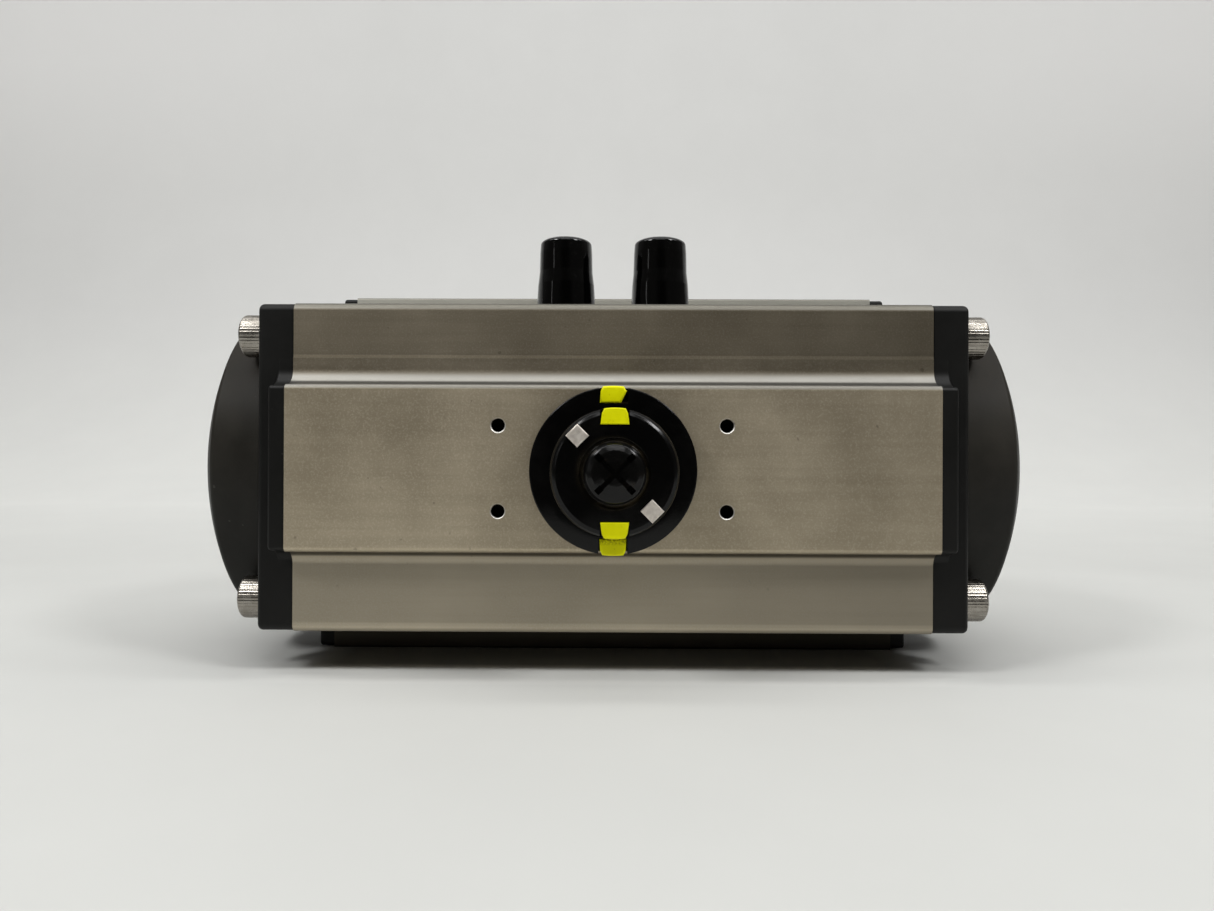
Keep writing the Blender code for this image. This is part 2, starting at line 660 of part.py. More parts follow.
def make_indicator(mats):
    base = [
        (24.0, -78.9), (28.0, -78.9), (28.5, -79.6), (28.5, -85.0), (27.6, -87.2),
        (25.4, -88.2), (14.5, -88.2), (14.5, -85.2), (24.0, -85.2),
    ]
    dial = lathe("indicator_base", "Y", base, DIAL_SEG, mat=mats["dial"])
    pockets = []
    for turn in (0.0, math.pi):
        pockets.append(prism("pocket", "Y", turned_box(4.9, 4.0, 26.6, turn), -90.0, -81.0))
    cut(dial, joined(pockets, "indicator_base_pockets"))
    disc = [
        (14.5, -88.5), (18.6, -88.5), (19.0, -89.4), (19.6, -97.6), (20.7, -98.0),
        (21.15, -98.9), (21.15, -99.8), (20.2, -102.0), (18.4, -102.9), (0.0, -103.2),
        (0.0, -99.2), (14.5, -99.2),
    ]
    top = lathe("indicator_disc", "Y", disc, DIAL_SEG, mat=mats["dial"])
    cuts = []
    for turn in (0.0, math.pi):
        cuts.append(prism("pocket", "Y", turned_box(5.05, 4.3, 19.8, turn), -105.0, -100.0))
    for turn in (math.pi / 4.0, -3.0 * math.pi / 4.0):
        cuts.append(prism("pocket", "Y", turned_box(2.85, 2.9, 17.1, turn), -105.0, -101.4))
    cuts.append(rod("pocket", "Y", 3.4, -106.0, -97.0, SCREW_SEG))
    cut(top, joined(cuts, "indicator_disc_pockets"))


def marker_outline(half_width, inner, outer, turn, steps=6):
    """Block between a chord and the rim arc."""
    points = [(-half_width, inner), (half_width, inner)]
    edge = math.asin(half_width / outer)
    for k in range(steps + 1):
        a = edge * (1.0 - 2.0 * k / steps)
        points.append((outer * math.sin(a), outer * math.cos(a)))
    c, s = math.cos(turn), math.sin(turn)
    return [(u * c - v * s, u * s + v * c) for u, v in points]


def make_markers(mats):
    for name, turn in (("top", 0.0), ("bottom", math.pi)):
        outline = marker_outline(4.7, 22.8, 28.7, turn)
        levels = [(-81.2, outline), (-86.4, outline), (-88.6, inset(outline, 0.9))]
        stack("outer_marker_" + name, "Y", levels, mats["yellow"])
        outline = marker_outline(4.85, 15.7, 21.1, turn)
        levels = [(-100.2, outline), (-102.0, outline), (-103.5, inset(outline, 0.8))]
        stack("inner_marker_" + name, "Y", levels, mats["yellow"])
    for name, turn in (("upper", math.pi / 4.0), ("lower", -3.0 * math.pi / 4.0)):
        outline = turned_box(2.7, 2.7, 17.1, turn)
        levels = [(-101.6, outline), (-103.1, outline), (-103.4, inset(outline, 0.3))]
        stack("target_insert_" + name, "Y", levels, mats["target"])


def make_indicator_screw(mats):
    profile = [
        (0.0, -83.0), (2.3, -83.0), (2.3, -98.7), (3.1, -98.7), (3.1, -103.4), (10.1, -103.4),
        (10.1, -104.5), (9.3, -105.8), (7.0, -106.8), (3.5, -107.4), (0.0, -107.5),
    ]
    screw = lathe("indicator_screw", "Y", profile, 24, mat=mats["dial"])
    bar = turned_box(0.8, 8.2, 0.0, math.pi / 4.0)
    cross = turned_box(0.8, 8.2, 0.0, -math.pi / 4.0)
    cut(screw, prism("indicator_screw_slot_a", "Y", bar, -110.0, -105.7),
        prism("indicator_screw_slot_b", "Y", cross, -110.0, -105.7))


# ---------------------------------------------------------------- assembly

def clear_scene():
    for obj in list(bpy.data.objects):
        bpy.data.objects.remove(obj, do_unlink=True)


def main():
    clear_scene()
    mats = make_materials()
    make_body(mats)
    for side_name, side in (("left", -1.0), ("right", 1.0)):
        make_end(side_name, side, mats)
        make_piston(side_name, side, mats)
    make_pinion(mats)
    make_stop_cam(mats)
    make_pinion_seats(mats)
    make_stop("closed", -STOP_X, mats)
    make_stop("open", STOP_X, mats)
    make_indicator(mats)
    make_markers(mats)
    make_indicator_screw(mats)


main()
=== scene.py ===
import json
import math

import bmesh
import bpy
import numpy as np
from mathutils import Matrix, Vector


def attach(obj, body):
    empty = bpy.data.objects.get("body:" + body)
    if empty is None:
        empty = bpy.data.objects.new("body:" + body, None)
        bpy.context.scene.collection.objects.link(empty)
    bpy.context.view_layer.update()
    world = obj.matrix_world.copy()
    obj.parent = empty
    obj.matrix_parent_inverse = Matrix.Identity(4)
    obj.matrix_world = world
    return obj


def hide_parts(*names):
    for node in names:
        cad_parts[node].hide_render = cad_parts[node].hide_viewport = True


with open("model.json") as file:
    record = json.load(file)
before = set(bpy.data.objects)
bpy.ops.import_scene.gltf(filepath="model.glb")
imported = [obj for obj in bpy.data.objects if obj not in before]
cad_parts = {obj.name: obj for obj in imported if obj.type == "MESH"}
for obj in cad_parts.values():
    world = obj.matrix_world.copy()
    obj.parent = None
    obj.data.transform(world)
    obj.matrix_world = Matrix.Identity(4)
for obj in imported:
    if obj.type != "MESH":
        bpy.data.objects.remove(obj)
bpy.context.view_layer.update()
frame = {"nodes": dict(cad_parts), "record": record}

MM = 0.001

# Sizes are in millimetres. Heights called w are measured from the pinion axis, at BORE_Z.
BORE_Z = 75.1
FACE_Y = 78.5
SHOULDER_Y = 70.0
SEAT_W = 61.5
WALL_W = 67.0
STRIP_W = 75.1
BODY_HALF = 114.9
CAP_START = BODY_HALF + 0.1
LIP_X = 121.0
FLANGE_X = 128.1
BOSS_X = 128.3
DOME_X = 43.0
DOME_R = 123.0
DOME_SIDE_R = 65.2
HOLLOW_R = 117.0
HOLLOW_SIDE_R = 58.0
SCREW_Y = 55.5
SCREW_W = 49.0
SCREW_SEAT_X = 128.35
STOP_X = 18.5
STOP_Y = -40.0
ACCESSORY_HOLE = (40.0, 15.0)
PAD_HOLE = (16.0, 12.0)
VALVE_HOLES = ((36.06, 4.25), (24.75, 3.4))  # half the spacing, drilled radius

# The dial's sideways and downward lean for each unit in front of the face, and its drop.
LEAN_RIGHT = 0.035
LEAN_DOWN = 0.040
DIAL_DROP = 0.25


# ---------------------------------------------------------------- node helpers

def math_node(tree, kind, a, b):
    """One calculation from two values, each a number or a socket."""
    node = tree.nodes.new("ShaderNodeMath")
    node.operation = kind
    for socket, value in zip(node.inputs, (a, b)):
        if isinstance(value, (int, float)):
            socket.default_value = value
        else:
            tree.links.new(value, socket)
    return node.outputs["Value"]


def mix_node(tree, factor, a, b):
    """Blend from a to b, each a colour or a socket."""
    node = tree.nodes.new("ShaderNodeMix")
    node.data_type = "RGBA"
    tree.links.new(factor, node.inputs["Factor"])
    for key, value in ((6, a), (7, b)):
        if isinstance(value, tuple):
            node.inputs[key].default_value = (*value, 1.0)
        else:
            tree.links.new(value, node.inputs[key])
    return node.outputs[2]


class Shader:
    """A Principled material with short calls for the procedural nodes that feed it."""

    def __init__(self, name, rough, metal=0.0, specular=0.5):
        self.mat = bpy.data.materials.new(name)
        self.mat.use_nodes = True
        self.tree = self.mat.node_tree
        self.bsdf = self.tree.nodes["Principled BSDF"]
        self.bsdf.inputs["Roughness"].default_value = rough
        self.bsdf.inputs["Metallic"].default_value = metal
        self.bsdf.inputs["Specular IOR Level"].default_value = specular
        self.where = self.tree.nodes.new("ShaderNodeTexCoord").outputs["Object"]

    def link(self, source, target):
        self.tree.links.new(source, target)

    def stretched(self, scale):
        node = self.tree.nodes.new("ShaderNodeMapping")
        node.inputs["Scale"].default_value = scale
        self.link(self.where, node.inputs["Vector"])
        return node.outputs["Vector"]

    def noise(self, scale, detail=4.0, rough=0.55, stretch=None):
        node = self.tree.nodes.new("ShaderNodeTexNoise")
        node.inputs["Scale"].default_value = scale
        node.inputs["Detail"].default_value = detail
        node.inputs["Roughness"].default_value = rough
        self.link(self.stretched(stretch) if stretch else self.where, node.inputs["Vector"])
        return node.outputs["Fac"]

    def ramp(self, value, low, high, out_low=0.0, out_high=1.0):
        node = self.tree.nodes.new("ShaderNodeMapRange")
        node.inputs["From Min"].default_value = low
        node.inputs["From Max"].default_value = high
        node.inputs["To Min"].default_value = out_low
        node.inputs["To Max"].default_value = out_high
        self.link(value, node.inputs["Value"])
        return node.outputs["Result"]

    def math(self, kind, a, b):
        return math_node(self.tree, kind, a, b)

    def mix(self, factor, a, b):
        return mix_node(self.tree, factor, a, b)

    def tint(self, value, gain):
        node = self.tree.nodes.new("ShaderNodeMix")
        node.data_type = "RGBA"
        node.blend_type = "MULTIPLY"
        node.inputs["Factor"].default_value = 1.0
        self.link(value, node.inputs[6])
        node.inputs[7].default_value = (gain, gain, gain, 1.0)
        return node.outputs[2]

    def color(self, value):
        self.link(value, self.bsdf.inputs["Base Color"])

    def specular(self, value):
        self.link(value, self.bsdf.inputs["Specular IOR Level"])

    def rough(self, value):
        self.link(value, self.bsdf.inputs["Roughness"])

    def bump(self, height, distance, strength=1.0):
        node = self.tree.nodes.new("ShaderNodeBump")
        node.inputs["Strength"].default_value = strength
        node.inputs["Distance"].default_value = distance
        self.link(height, node.inputs["Height"])
        self.link(node.outputs["Normal"], self.bsdf.inputs["Normal"])

    def axis(self, which, source=None):
        """One coordinate of the object's own space, in metres, or of another vector."""
        node = self.tree.nodes.new("ShaderNodeSeparateXYZ")
        self.link(source or self.where, node.inputs["Vector"])
        return node.outputs[which]

    def size_of(self, value):
        return self.math("ABSOLUTE", value, 0.0)

    def both(self, a, b):
        return self.math("MULTIPLY", a, b)

    def distance(self, a, b):
        """Length of the diagonal with sides a and b."""
        total = self.math("ADD", self.both(a, a), self.both(b, b))
        return self.math("SQRT", total, 0.0)

    def band(self, which, middle, half):
        """One on a narrow band of a coordinate, falling to zero over as much again."""
        off = self.size_of(self.math("SUBTRACT", self.axis(which), middle))
        return self.ramp(off, 2.0 * half, half)

    def from_hole(self, across, height):
        """Distance in X and Z from the nearest of four holes round the pinion axis."""
        side = self.math("SUBTRACT", self.size_of(self.axis("X")), across * MM)
        rise = self.size_of(self.math("SUBTRACT", self.axis("Z"), BORE_Z * MM))
        return self.distance(side, self.math("SUBTRACT", rise, height * MM))

    def facing_up(self):
        return self.axis("Z", self.tree.nodes.new("ShaderNodeNewGeometry").outputs["Normal"])


# ---------------------------------------------------------------- materials

def anodised():
    s = Shader("anodised_body", 0.50, metal=0.95)
    grain = s.noise(1500.0, 3.0, 0.6)
    blotch = s.noise(26.0, 5.0, 0.6)
    streak = s.noise(40.0, 4.0, 0.6, stretch=(0.25, 9.0, 9.0))
    tone = s.mix(s.ramp(blotch, 0.35, 0.68), (0.300, 0.256, 0.184), (0.376, 0.326, 0.242))
    tone = s.mix(s.ramp(streak, 0.42, 0.72, 0.0, 0.35), tone, (0.250, 0.212, 0.150))
    tone = s.mix(s.ramp(grain, 0.48, 0.72, 0.0, 0.40), tone, (0.51, 0.46, 0.36))
    fleck = s.ramp(s.noise(330.0, 2.0, 0.5), 0.72, 0.77, 0.0, 0.45)
    tone = s.mix(fleck, tone, (0.13, 0.115, 0.085))

    # The raised faces are brighter. Painted shade darkens the upper shoulder, more towards the right,
    # and painted light makes the lower part lighter.
    face = s.ramp(s.size_of(s.axis("Y")), 0.0776, 0.0784)
    front = s.ramp(s.axis("Y"), -0.0600, -0.0640)
    tone = s.mix(face, tone, s.tint(tone, 1.40))
    painted_shoulder_shade = s.ramp(s.axis("Z"), 0.106, 0.116)
    tone = s.mix(painted_shoulder_shade, tone, s.tint(tone, 0.72))
    tone = s.mix(s.both(painted_shoulder_shade, s.ramp(s.axis("X"), 0.0, 0.11)), tone, s.tint(tone, 0.74))
    painted_light_low = s.mix(grain, s.tint(tone, 1.20), (0.36, 0.33, 0.27))
    tone = s.mix(s.ramp(s.axis("Z"), 0.047, 0.042), tone, painted_light_low)

    # A thin painted highlight runs along the step on the front's upper shoulder, and the top strip is
    # pale.
    tone = s.mix(s.both(front, s.band("Z", 0.1150, 0.0004)), tone, s.tint(tone, 1.45))
    tone = s.mix(s.ramp(s.axis("Z"), 0.1362, 0.1375), tone, (0.68, 0.665, 0.59))
    # Surfaces facing up get a neutral grey painted sky reflection, painted darker on the raised face
    # and along the top edge.
    painted_sky_sheen = s.ramp(s.facing_up(), 0.10, 0.45)
    tone = s.mix(painted_sky_sheen, tone, (0.335, 0.325, 0.295))
    dimmed_sheen_edge = s.math("MAXIMUM", face, s.ramp(s.axis("Z"), 0.131, 0.1325))
    tone = s.mix(s.both(painted_sky_sheen, dimmed_sheen_edge), tone, (0.200, 0.190, 0.160))

    # Painted shade darkens the two inner corners beside the raised front face.
    behind = s.both(front, s.ramp(s.axis("Y"), -0.0774, -0.0766))
    painted_corner_shade = s.math("MAXIMUM", s.band("Z", 0.0447, 0.0008), s.band("Z", 0.1050, 0.0006))
    tone = s.mix(s.both(painted_corner_shade, behind), tone, s.tint(tone, 0.30))

    # Painted shade darkens the band under the line and the right side, low parts most, and a painted
    # highlight lightens the rounding of the lower edge.
    tone = s.mix(s.both(front, s.band("Z", 0.1118, 0.0026)), tone, s.tint(tone, 0.84))
    painted_shade_low_right = s.both(s.ramp(s.axis("Z"), 0.044, 0.041), s.ramp(s.axis("X"), 0.02, 0.11))
    tone = s.mix(painted_shade_low_right, tone, s.tint(tone, 0.86))
    tone = s.mix(s.ramp(s.axis("X"), 0.015, 0.090), tone, s.tint(tone, 0.87))
    tone = s.mix(s.both(front, s.band("Z", 0.0182, 0.0007)), tone, s.tint(tone, 1.25))

    # The accessory holes have bare countersinks, painted brighter where they face up as a painted
    # highlight, and painted shade in their bores.
    drilled = s.from_hole(*ACCESSORY_HOLE)
    rim = s.both(s.ramp(drilled, 0.00280, 0.00268), s.ramp(s.facing_up(), -0.5, 0.3, 0.2, 1.0))
    tone = s.mix(s.both(s.both(rim, front), face), tone, (0.97, 0.95, 0.90))
    painted_bore_shade = s.both(s.ramp(drilled, 0.00243, 0.00236), front)
    tone = s.mix(painted_bore_shade, tone, s.tint(tone, 0.05))

    # Painted shade darkens the underside, close to the floor.
    under = s.ramp(s.axis("Z"), 0.008, 0.014)
    s.color(s.mix(under, s.tint(tone, 0.15), tone))
    s.rough(s.ramp(s.math("ADD", grain, blotch), 0.7, 1.3, 0.46, 0.56))
    s.bump(grain, 0.00006, 0.35)
    return s.mat


def cap_paint():
    s = Shader("cap_paint", 0.50, specular=0.22)
    orange_peel = s.noise(900.0, 3.0, 0.6)
    dust = s.noise(38.0, 5.0, 0.62)
    tone = s.mix(s.ramp(dust, 0.40, 0.75), (0.0090, 0.0090, 0.0072), (0.0165, 0.0160, 0.0135))
    chips = s.ramp(s.noise(330.0, 2.0, 0.5), 0.745, 0.775, 0.0, 0.30)

    # The domes are paler than the flanges, and browner with dust towards the top.
    domed = s.ramp(s.size_of(s.axis("X")), 0.1284, 0.1290)
    dusty = s.mix(s.ramp(dust, 0.35, 0.70), (0.0164, 0.0140, 0.0100), (0.0272, 0.0230, 0.0170))
    bare = s.mix(s.ramp(dust, 0.35, 0.70), (0.0166, 0.0160, 0.0140), (0.0270, 0.0258, 0.0226))
    dusty = s.mix(s.ramp(s.axis("Z"), 0.060, 0.110), bare, dusty)
    tone = s.mix(domed, s.tint(tone, 0.28), dusty)
    s.color(s.mix(chips, tone, (0.10, 0.095, 0.085)))
    s.rough(s.ramp(dust, 0.3, 0.75, 0.44, 0.56))
    s.specular(s.ramp(domed, 0.0, 1.0, 0.22, 0.12))
    s.bump(orange_peel, 0.00009, 0.35)
    return s.mat


def stainless():
    s = Shader("stainless_screw", 0.24, metal=1.0)
    haze = s.noise(260.0, 4.0, 0.6)
    drawn = s.noise(1500.0, 2.0, 0.5, stretch=(0.08, 1.0, 1.0))
    tone = s.mix(s.ramp(haze, 0.40, 0.70), (0.275, 0.254, 0.222), (0.36, 0.338, 0.303))
    tone = s.mix(s.ramp(drawn, 0.50, 0.66, 0.0, 0.45), tone, (0.16, 0.142, 0.120))
    s.color(s.mix(s.ramp(s.noise(120.0, 3.0), 0.62, 0.78, 0.0, 0.35), tone, (0.26, 0.22, 0.17)))
    s.rough(s.ramp(haze, 0.35, 0.7, 0.22, 0.32))
    s.bump(drawn, 0.00005, 0.35)
    return s.mat


def rubber():
    s = Shader("seal_rubber", 0.62)
    grain = s.noise(1400.0, 3.0)
    s.color(s.mix(s.ramp(grain, 0.4, 0.7), (0.010, 0.010, 0.010), (0.022, 0.021, 0.020)))
    s.rough(s.ramp(grain, 0.4, 0.7, 0.55, 0.72))
    s.bump(grain, 0.00005, 0.3)
    return s.mat


def cast_metal():
    s = Shader("piston_cast", 0.45, metal=0.9)
    skin = s.noise(600.0, 5.0, 0.65)
    s.color(s.mix(s.ramp(skin, 0.35, 0.7), (0.40, 0.41, 0.42), (0.58, 0.58, 0.58)))
    s.rough(s.ramp(skin, 0.35, 0.7, 0.36, 0.55))
    s.bump(skin, 0.0001, 0.35)
    return s.mat


def bearing_plastic():
    s = Shader("wear_plastic", 0.48)
    cloud = s.noise(300.0, 4.0)
    s.color(s.mix(s.ramp(cloud, 0.35, 0.7), (0.56, 0.51, 0.38), (0.68, 0.64, 0.52)))
    s.rough(s.ramp(cloud, 0.35, 0.7, 0.42, 0.56))
    s.bump(cloud, 0.00004, 0.25)
    return s.mat


def plated_steel(name, low, high, rough):
    s = Shader(name, rough, metal=1.0)
    grain = s.noise(700.0, 4.0, 0.6)
    s.color(s.mix(s.ramp(grain, 0.35, 0.7), low, high))
    s.rough(s.ramp(grain, 0.35, 0.7, rough - 0.06, rough + 0.08))
    s.bump(grain, 0.00004, 0.25)
    return s.mat


def vinyl():
    s = Shader("vinyl_cap", 0.13, specular=0.32)
    wave = s.noise(130.0, 2.0, 0.4, stretch=(1.0, 1.0, 0.45))
    dust = s.noise(520.0, 3.0, 0.6)
    speck = s.ramp(dust, 0.60, 0.80, 0.0, 0.6)
    s.color(s.mix(speck, (0.0008, 0.0008, 0.0008), (0.004, 0.0037, 0.0034)))
    s.rough(s.ramp(dust, 0.45, 0.75, 0.07, 0.15))
    s.bump(wave, 0.0006, 0.30)
    return s.mat


def dial_plastic():
    s = Shader("indicator_plastic", 0.16, specular=0.22)
    grain = s.noise(1300.0, 3.0)
    dust = s.noise(90.0, 5.0, 0.65)
    tone = s.mix(s.ramp(dust, 0.45, 0.8), (0.0016, 0.0016, 0.0016), (0.0040, 0.0038, 0.0036))

    # Brown dust lies round the middle screw, which the lean puts 1.2 mm low, mostly on its right.
    height = s.math("SUBTRACT", s.axis("Z"), (BORE_Z - 1.2) * MM)
    radius = s.distance(s.axis("X"), height)
    groove = s.both(s.ramp(radius, 0.0125, 0.0108), s.ramp(dust, 0.40, 0.62, 0.2, 1.0))
    groove = s.both(groove, s.ramp(s.axis("X"), -0.008, 0.004, 0.25, 1.0))
    s.color(s.mix(groove, tone, (0.036, 0.028, 0.015)))
    s.rough(s.ramp(dust, 0.35, 0.75, 0.12, 0.24))
    s.bump(grain, 0.00004, 0.25)
    return s.mat


def screw_plastic():
    s = Shader("indicator_screw_plastic", 0.16, specular=0.23)
    wave = s.noise(170.0, 3.0, 0.5)
    grime = s.ramp(s.noise(240.0, 4.0, 0.6), 0.55, 0.75)
    s.color(s.mix(grime, (0.0022, 0.0022, 0.0021), (0.010, 0.008, 0.006)))
    s.rough(s.ramp(wave, 0.35, 0.7, 0.10, 0.22))
    s.bump(wave, 0.0004, 0.25)
    return s.mat


def yellow():
    s = Shader("marker_yellow", 0.42, specular=0.15)
    cloud = s.noise(200.0, 4.0)
    tone = s.mix(s.ramp(cloud, 0.35, 0.7), (0.84, 0.83, 0.0), (0.93, 0.93, 0.0))
    scuff = s.ramp(s.noise(700.0, 4.0, 0.7), 0.62, 0.72, 0.0, 0.5)
    tone = s.mix(scuff, tone, (0.52, 0.47, 0.0))

    # Painted shade dulls the two inner markers, and a speckled painted shadow of the disc lies on the
    # lower outer one.
    low = s.both(s.ramp(s.axis("Z"), 0.0492, 0.0506), s.ramp(s.axis("Z"), 0.0522, 0.0514))
    painted_disc_shadow = s.ramp(s.noise(1500.0, 3.0, 0.6), 0.40, 0.60, 0.05, 0.65)
    upper = s.both(s.band("Z", 0.0935, 0.0024), 0.55)
    inner = s.math("MAXIMUM", s.band("Z", 0.0567, 0.0024), upper)
    tone = s.mix(inner, tone, s.tint(tone, 0.78))
    s.color(s.mix(s.both(low, painted_disc_shadow), tone, (0.14, 0.12, 0.0)))
    s.rough(s.ramp(cloud, 0.35, 0.7, 0.36, 0.50))
    s.bump(cloud, 0.00005, 0.25)
    return s.mat


def target_metal():
    s = Shader("target_steel", 0.36, metal=0.6)
    brushed = s.noise(700.0, 3.0, 0.6)
    lines = s.noise(2600.0, 2.0, 0.5)
    s.color(s.mix(s.ramp(brushed, 0.35, 0.7), (0.70, 0.64, 0.57), (0.90, 0.84, 0.76)))
    s.rough(s.ramp(lines, 0.35, 0.7, 0.30, 0.46))
    s.bump(lines, 0.00005, 0.4)
    return s.mat


def floor_paint():
    s = Shader("floor", 0.62, specular=0.25)
    soft = s.noise(7.0, 4.0, 0.6)
    # Painted light and shade grade the stage: the near floor is darker than the far floor, and the
    # backdrop is lighter high up at the sides.
    near_painted_dim = s.mix(s.ramp(soft, 0.35, 0.7), (0.585, 0.589, 0.568), (0.605, 0.609, 0.587))
    far = s.mix(s.ramp(soft, 0.35, 0.7), (0.815, 0.820, 0.795), (0.835, 0.840, 0.812))
    wall = s.mix(s.ramp(soft, 0.35, 0.7), (0.765, 0.765, 0.750), (0.780, 0.780, 0.765))
    paper = s.mix(s.ramp(s.axis("Y"), 0.25, 1.0), near_painted_dim, far)
    across = s.size_of(s.axis("X"))
    wide = s.both(s.ramp(across, 0.55, 1.5), s.ramp(s.axis("Z"), 0.55, 1.1))
    wall = s.mix(wide, wall, (0.885, 0.880, 0.865))

    # Painted shadow darkens the floor under the body, and painted light makes it a little paler just in
    # front of it.
    painted_body_shadow = s.both(s.ramp(across, 0.122, 0.104), s.ramp(s.axis("Y"), -0.0565, -0.0510))
    painted_body_shadow = s.both(painted_body_shadow, s.ramp(s.axis("Y"), 0.075, 0.060))
    paper = s.mix(painted_body_shadow, paper, s.tint(paper, 0.45))
    painted_light_in_front = s.both(s.ramp(across, 0.135, 0.115), s.band("Y", -0.0670, 0.0070))
    paper = s.mix(painted_light_in_front, paper, s.tint(paper, 1.18))
    s.color(s.mix(s.ramp(s.axis("Z"), 0.03, 0.45), paper, wall))
    return s.mat


MATS = {
    "anodised_body": anodised(),
    "cap_paint": cap_paint(),
    "stainless_screw": stainless(),
    "seal_rubber": rubber(),
    "piston_cast": cast_metal(),
    "wear_plastic": bearing_plastic(),
    "pinion_steel": plated_steel("pinion_steel", (0.34, 0.34, 0.34), (0.52, 0.51, 0.50), 0.34),
    "snap_ring_steel": plated_steel("snap_ring_steel", (0.07, 0.07, 0.075), (0.12, 0.12, 0.12), 0.38),
    "vinyl_cap": vinyl(),
    "indicator_plastic": dial_plastic(),
    "marker_yellow": yellow(),
    "target_steel": target_metal(),
}
SCREW_PLASTIC = screw_plastic()


# ---------------------------------------------------------------- mesh helpers

def lean(obj):
    """The dial sits a little low and leans to the right and down."""
    for vertex in obj.data.vertices:
        height = -FACE_Y * MM - vertex.co.y
        vertex.co.x += LEAN_RIGHT * height
        vertex.co.z -= DIAL_DROP * MM + LEAN_DOWN * height


def place(axis, u, v, a):
    """World point in metres of (u, v) at a along the axis, all measured from the bore."""
    if axis == "X":
        return (a * MM, u * MM, (v + BORE_Z) * MM)
    if axis == "Y":
        return (u * MM, a * MM, (v + BORE_Z) * MM)
    return (u * MM, v * MM, (a + BORE_Z) * MM)


def solid(name, verts, faces):
    """A closed mesh with its faces turned outwards."""
    mesh = bpy.data.meshes.new(name)
    mesh.from_pydata(verts, [], faces)
    work = bmesh.new()
    work.from_mesh(mesh)
    bmesh.ops.recalc_face_normals(work, faces=work.faces)
    work.to_mesh(mesh)
    work.free()
    obj = bpy.data.objects.new(name, mesh)
    bpy.context.scene.collection.objects.link(obj)
    return obj


def stack(name, axis, levels):
    """Solid through (height, outline) levels, each with the same number of points."""
    count = len(levels[0][1])
    verts = [place(axis, u, v, a) for a, outline in levels for u, v in outline]
    faces = [tuple(range(count))]
    for k in range(len(levels) - 1):
        for i in range(count):
            j = (i + 1) % count
            faces.append((k * count + i, k * count + j, (k + 1) * count + j, (k + 1) * count + i))
    top = (len(levels) - 1) * count
    faces.append(tuple(range(top + count - 1, top - 1, -1)))
    return solid(name, verts, faces)


def prism(name, axis, outline, lo, hi):
    return stack(name, axis, [(lo, outline), (hi, outline)])


def lathe(name, axis, profile, segments, centre=(0.0, 0.0), reach=None):
    """Solid of revolution; reach(turn, radius, a) may change the radius round the turn."""
    verts = []
    rings = []
    for radius, a in profile:
        if radius < 1e-6:
            rings.append([len(verts)])
            verts.append(place(axis, centre[0], centre[1], a))
            continue
        ring = []
        for i in range(segments):
            turn = 2.0 * math.pi * i / segments
            r = reach(turn, radius, a) if reach else radius
            ring.append(len(verts))
            verts.append(place(axis, centre[0] + r * math.cos(turn), centre[1] + r * math.sin(turn), a))
        rings.append(ring)
    faces = []
    for k in range(len(rings)):
        first, second = rings[k], rings[(k + 1) % len(rings)]
        if len(first) == 1 and len(second) == 1:
            continue
        for i in range(segments):
            j = (i + 1) % segments
            quad = [first[i % len(first)], first[j % len(first)]]
            quad += [second[j % len(second)], second[i % len(second)]]
            faces.append(tuple(dict.fromkeys(quad)))
    return solid(name, verts, faces)


def arc_profile(points, step=12.0):
    """Half profile from (r, a, round) corners, each rounded with short steps."""
    out = []
    count = len(points)
    for i, (r, a, radius) in enumerate(points):
        if radius <= 0.0 or i in (0, count - 1):
            out.append((r, a))
            continue
        out += round_corner(points[i - 1][:2], (r, a), points[i + 1][:2], radius, step)
    return out


def round_corner(before, here, after, radius, step):
    """Points of the arc that replaces a corner, at most step degrees apart."""
    here = np.array(here)
    back = np.array(before) - here
    ahead = np.array(after) - here
    back = back / np.linalg.norm(back)
    ahead = ahead / np.linalg.norm(ahead)
    half = math.acos(max(-1.0, min(1.0, float(back @ ahead)))) / 2.0
    if half > 1.55:
        return [tuple(here)]
    bisector = (back + ahead) / np.linalg.norm(back + ahead)
    middle = here + bisector * radius / math.sin(half)
    start = here + back * radius / math.tan(half) - middle
    end = here + ahead * radius / math.tan(half) - middle
    first = math.atan2(start[1], start[0])
    sweep = math.atan2(end[1], end[0]) - first
    sweep = (sweep + math.pi) % (2.0 * math.pi) - math.pi
    count = max(2, round(abs(math.degrees(sweep)) / step))
    return [(middle[0] + radius * math.cos(first + sweep * k / count),
             middle[1] + radius * math.sin(first + sweep * k / count)) for k in range(count + 1)]


def rounded(corners, step=9.0):
    """Closed outline from (u, v, round) corners."""
    points = []
    count = len(corners)
    for i, (u, v, radius) in enumerate(corners):
        if radius <= 0.0:
            points.append((u, v))
            continue
        points += round_corner(corners[i - 1][:2], (u, v), corners[(i + 1) % count][:2], radius, step)
    return points


def inset(outline, distance):
    """The outline moved inwards, with as many points as before."""
    points = np.array(outline)
    ahead = np.roll(points, -1, axis=0) - points
    ahead /= np.linalg.norm(ahead, axis=1)[:, None]
    area = np.sum(points[:, 0] * np.roll(points[:, 1], -1) - points[:, 1] * np.roll(points[:, 0], -1))
    turn = 1.0 if area > 0 else -1.0
    normal = turn * np.stack([-ahead[:, 1], ahead[:, 0]], axis=1)
    mixed = normal + np.roll(normal, 1, axis=0)
    mixed /= np.sum(mixed * normal, axis=1)[:, None]
    return [tuple(p) for p in points + mixed * distance]


